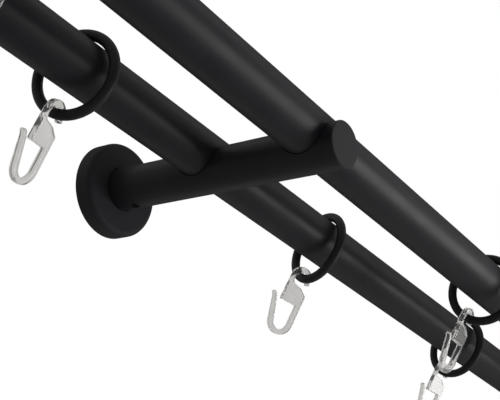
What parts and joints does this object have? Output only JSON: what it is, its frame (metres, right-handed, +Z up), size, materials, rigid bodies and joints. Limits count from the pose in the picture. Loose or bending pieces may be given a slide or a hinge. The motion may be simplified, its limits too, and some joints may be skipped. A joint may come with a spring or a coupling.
{
  "type": "double curtain pole",
  "caption": "Wall-mounted double curtain pole: two round black tubes in open saddles on bracket arms with round rosettes, wire rings and clear plastic pleat hooks.",
  "frame": {"origin": "on the wall plane, midway between the two brackets, at the height of the arms axes", "axes": "+X along the poles to the right seen from the room, +Y into the wall, +Z up"},
  "size_m": [1.012, 0.1198, 0.0592],
  "materials": {
    "black": "matt powder coat",
    "ring_black": "matt powder coat",
    "zinc": "zinc plated",
    "dark_steel": "black oxide",
    "clear_plastic": "clear, moulded"
  },
  "bodies": {
    "brackets_and_poles": {"left_wall_plate": "zinc", "left_rosette": "black", "left_arm": "black", "left_arm_screw": "dark_steel", "right_wall_plate": "zinc", "right_rosette": "black", "right_arm": "black", "right_arm_screw": "dark_steel", "rear_pole": "black", "rear_cap_left": "black", "rear_cap_right": "black", "front_pole": "black", "front_cap_left": "black", "front_cap_right": "black"},
    "rear_ring_1": {"rear_ring_1": "ring_black"},
    "rear_hook_1": {"rear_hook_1": "clear_plastic"},
    "rear_ring_2": {"rear_ring_2": "ring_black"},
    "rear_hook_2": {"rear_hook_2": "clear_plastic"},
    "rear_ring_3": {"rear_ring_3": "ring_black"},
    "rear_hook_3": {"rear_hook_3": "clear_plastic"},
    "rear_ring_4": {"rear_ring_4": "ring_black"},
    "rear_hook_4": {"rear_hook_4": "clear_plastic"},
    "rear_ring_5": {"rear_ring_5": "ring_black"},
    "rear_hook_5": {"rear_hook_5": "clear_plastic"},
    "front_ring_1": {"front_ring_1": "ring_black"},
    "front_hook_1": {"front_hook_1": "clear_plastic"},
    "front_ring_2": {"front_ring_2": "ring_black"},
    "front_hook_2": {"front_hook_2": "clear_plastic"},
    "front_ring_3": {"front_ring_3": "ring_black"},
    "front_hook_3": {"front_hook_3": "clear_plastic"},
    "front_ring_4": {"front_ring_4": "ring_black"},
    "front_hook_4": {"front_hook_4": "clear_plastic"},
    "front_ring_5": {"front_ring_5": "ring_black"},
    "front_hook_5": {"front_hook_5": "clear_plastic"}
  },
  "joints": [
    {"name": "rear_ring_1_slide", "type": "slide", "parent": "brackets_and_poles", "child": "rear_ring_1", "axis": [1, 0, 0], "range_m": [-0.113, 0.053]},
    {"name": "rear_hook_1_swing", "type": "hinge", "parent": "rear_ring_1", "child": "rear_hook_1", "pos_m": [-0.37437, -0.0471, -0.01237], "axis": [-0.2706, 0.8957, 0.3528], "range_deg": [-60, 60]},
    {"name": "rear_ring_2_slide", "type": "slide", "parent": "brackets_and_poles", "child": "rear_ring_2", "axis": [1, 0, 0], "range_m": [-0.062, 0.058]},
    {"name": "rear_hook_2_swing", "type": "hinge", "parent": "rear_ring_2", "child": "rear_hook_2", "pos_m": [-0.21664, -0.04621, -0.01202], "axis": [0.3206, 0.8813, 0.3472], "range_deg": [-60, 60]},
    {"name": "rear_ring_3_slide", "type": "slide", "parent": "brackets_and_poles", "child": "rear_ring_3", "axis": [1, 0, 0], "range_m": [-0.058, 0.081]},
    {"name": "rear_hook_3_swing", "type": "hinge", "parent": "rear_ring_3", "child": "rear_hook_3", "pos_m": [-0.07569, -0.04531, -0.01159], "axis": [0.2062, 0.9104, 0.3586], "range_deg": [-60, 60]},
    {"name": "rear_ring_4_slide", "type": "slide", "parent": "brackets_and_poles", "child": "rear_ring_4", "axis": [1, 0, 0], "range_m": [-0.081, 0.169]},
    {"name": "rear_hook_4_swing", "type": "hinge", "parent": "rear_ring_4", "child": "rear_hook_4", "pos_m": [0.11006, -0.04702, -0.01234], "axis": [-0.1564, 0.919, 0.362], "range_deg": [-60, 60]},
    {"name": "rear_ring_5_slide", "type": "slide", "parent": "brackets_and_poles", "child": "rear_ring_5", "axis": [1, 0, 0], "range_m": [-0.053, 0.113]},
    {"name": "rear_hook_5_swing", "type": "hinge", "parent": "rear_ring_5", "child": "rear_hook_5", "pos_m": [0.37462, -0.04611, -0.01197], "axis": [0.2079, 0.9101, 0.3585], "range_deg": [-60, 60]},
    {"name": "front_ring_1_slide", "type": "slide", "parent": "brackets_and_poles", "child": "front_ring_1", "axis": [1, 0, 0], "range_m": [-0.046, 0.121]},
    {"name": "front_hook_1_swing", "type": "hinge", "parent": "front_ring_1", "child": "front_hook_1", "pos_m": [-0.442, -0.09665, -0.0122], "axis": [0.1392, 0.9214, 0.3629], "range_deg": [-60, 60]},
    {"name": "front_ring_2_slide", "type": "slide", "parent": "brackets_and_poles", "child": "front_ring_2", "axis": [1, 0, 0], "range_m": [-0.128, 0.073]},
    {"name": "front_hook_2_swing", "type": "hinge", "parent": "front_ring_2", "child": "front_hook_2", "pos_m": [-0.15049, -0.09519, -0.01154], "axis": [-0.0576, 0.9289, 0.3659], "range_deg": [-60, 60]},
    {"name": "front_ring_3_slide", "type": "slide", "parent": "brackets_and_poles", "child": "front_ring_3", "axis": [1, 0, 0], "range_m": [-0.073, 0.073]},
    {"name": "front_hook_3_swing", "type": "hinge", "parent": "front_ring_3", "child": "front_hook_3", "pos_m": [0.02012, -0.09601, -0.01193], "axis": [0.1736, 0.9163, 0.3609], "range_deg": [-60, 60]},
    {"name": "front_ring_4_slide", "type": "slide", "parent": "brackets_and_poles", "child": "front_ring_4", "axis": [1, 0, 0], "range_m": [-0.073, 0.089]},
    {"name": "front_hook_4_swing", "type": "hinge", "parent": "front_ring_4", "child": "front_hook_4", "pos_m": [0.1901, -0.0971, -0.01237], "axis": [-0.2079, 0.9101, 0.3585], "range_deg": [-60, 60]},
    {"name": "front_ring_5_slide", "type": "slide", "parent": "brackets_and_poles", "child": "front_ring_5", "axis": [1, 0, 0], "range_m": [-0.121, 0.046]},
    {"name": "front_hook_5_swing", "type": "hinge", "parent": "front_ring_5", "child": "front_hook_5", "pos_m": [0.44196, -0.09637, -0.01209], "axis": [-0.1219, 0.9235, 0.3638], "range_deg": [-60, 60]}
  ]
}
